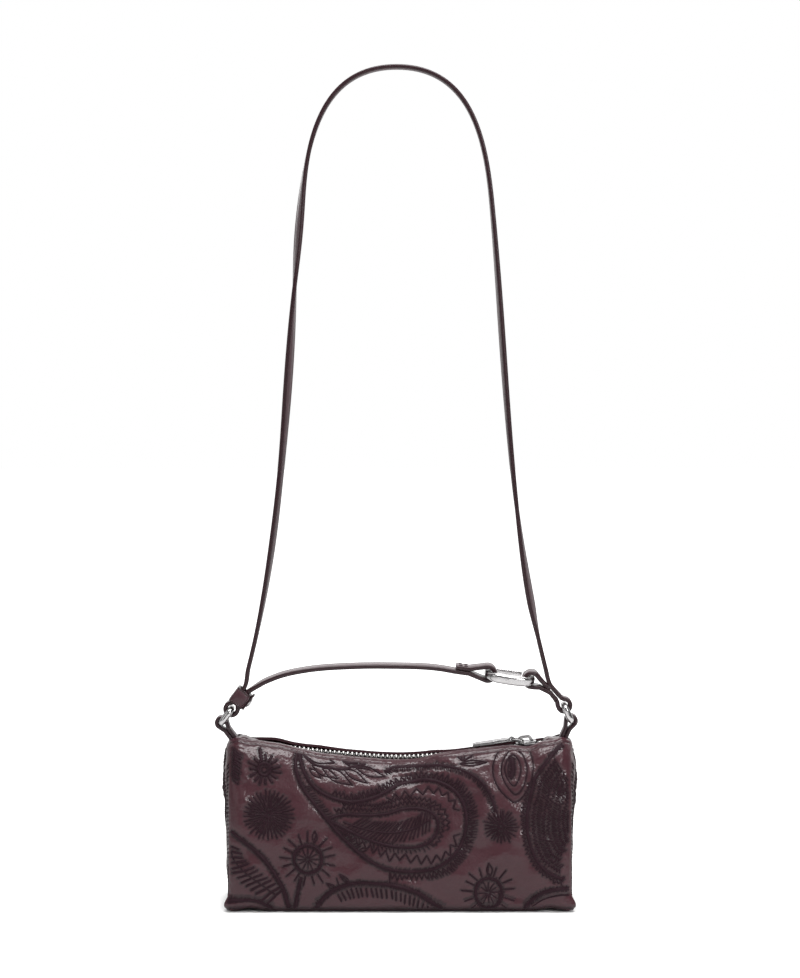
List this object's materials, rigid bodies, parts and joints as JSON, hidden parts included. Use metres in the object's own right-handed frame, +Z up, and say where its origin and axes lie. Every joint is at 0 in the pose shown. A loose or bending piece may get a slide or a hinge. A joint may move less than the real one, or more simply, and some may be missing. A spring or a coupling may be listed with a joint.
{
  "type": "crossbody wallet",
  "caption": "Small zipped box bag in dark glossy embroidered leather, with a short clip-on handle and a long shoulder strap held by silver rings at its top corners.",
  "frame": {"origin": "middle of the flat base, on the surface the bag stands on", "axes": "+X along the zip towards the slider, +Y from the front to the back, +Z up"},
  "size_m": [0.2133, 0.0576, 0.4913],
  "materials": {
    "leather": "glossy dark aubergine leather with raised embroidery",
    "strap_leather": "smooth glossy strap leather with painted edges",
    "lining_cloth": "woven lining",
    "board": "fibre board",
    "zip_tape": "woven tape",
    "silver": "polished silver-coloured metal",
    "spring_steel": "spring steel"
  },
  "bodies": {
    "bag": {"front_panel": "leather", "back_panel": "leather", "left_gusset": "leather", "right_gusset": "leather", "base_panel": "leather", "base_board": "board", "lining": "lining_cloth", "front_zip_tape": "zip_tape", "back_zip_tape": "zip_tape", "front_zip_teeth": "silver", "back_zip_teeth": "silver", "zip_bottom_stop": "silver", "front_zip_top_stop": "silver", "back_zip_top_stop": "silver", "left_zip_end_tab": "leather", "right_zip_end_tab": "leather"},
    "slider": {"zip_slider": "silver"},
    "link": {"pull_link": "silver"},
    "pull": {"pull_tab": "silver"},
    "strap_base": {"left_tab": "strap_leather", "right_tab": "strap_leather", "strap_left_loop": "strap_leather", "strap_right_loop": "strap_leather", "strap_keeper": "strap_leather", "keeper_rivet_cap": "silver", "keeper_rivet_post": "silver"},
    "left_ring": {"left_ring": "silver"},
    "right_ring": {"right_ring": "silver"},
    "long_strap": {"long_strap": "strap_leather"},
    "handle": {"handle_strap": "strap_leather", "connector_loop": "strap_leather", "clip_ring": "silver", "clip_gate_pin": "silver", "clip_gate_spring": "spring_steel"},
    "gate": {"clip_gate": "silver"}
  },
  "joints": [
    {"name": "slider_travel", "type": "hinge", "parent": "bag", "child": "slider", "pos_m": [0, 0, 0.55556], "axis": [0, 1, 0], "range_deg": [0, 16.5], "deforming": ["front_zip_teeth", "back_zip_teeth"]},
    {"name": "link_lift", "type": "hinge", "parent": "slider", "child": "link", "pos_m": [0.07236, 0, 0.09641], "axis": [0, 1, 0], "range_deg": [0, 45]},
    {"name": "pull_lift", "type": "hinge", "parent": "link", "child": "pull", "pos_m": [0.06579, 0, 0.0971], "axis": [0, 1, 0], "range_deg": [0, 60]},
    {"name": "tab_fold", "type": "hinge", "parent": "bag", "child": "strap_base", "pos_m": [0, 0, 0.1037], "axis": [1, 0, 0], "range_deg": [-50, 50]},
    {"name": "left_ring_swing", "type": "hinge", "parent": "strap_base", "child": "left_ring", "pos_m": [-0.10482, 0, 0.10719], "axis": [0, 1, 0], "range_deg": [-4, 4]},
    {"name": "right_ring_swing", "type": "hinge", "parent": "strap_base", "child": "right_ring", "pos_m": [0.10047, 0, 0.10834], "axis": [0, 1, 0], "range_deg": [-4, 4]},
    {"name": "strap_fold", "type": "hinge", "parent": "strap_base", "child": "long_strap", "pos_m": [0, 0, 0.13908], "axis": [1, 0, 0], "range_deg": [-90, 90]},
    {"name": "handle_fold", "type": "hinge", "parent": "strap_base", "child": "handle", "pos_m": [0, 0, 0.12816], "axis": [1, 0, 0], "range_deg": [-75, 75]},
    {"name": "gate_open", "type": "hinge", "parent": "handle", "child": "gate", "pos_m": [0.05494, 0.00782, 0.13701], "axis": [-0.1461, 0.1034, -0.9839], "range_deg": [0, 22], "stiffness_Nm_per_rad": 0.01, "springref_deg": -17.19}
  ]
}
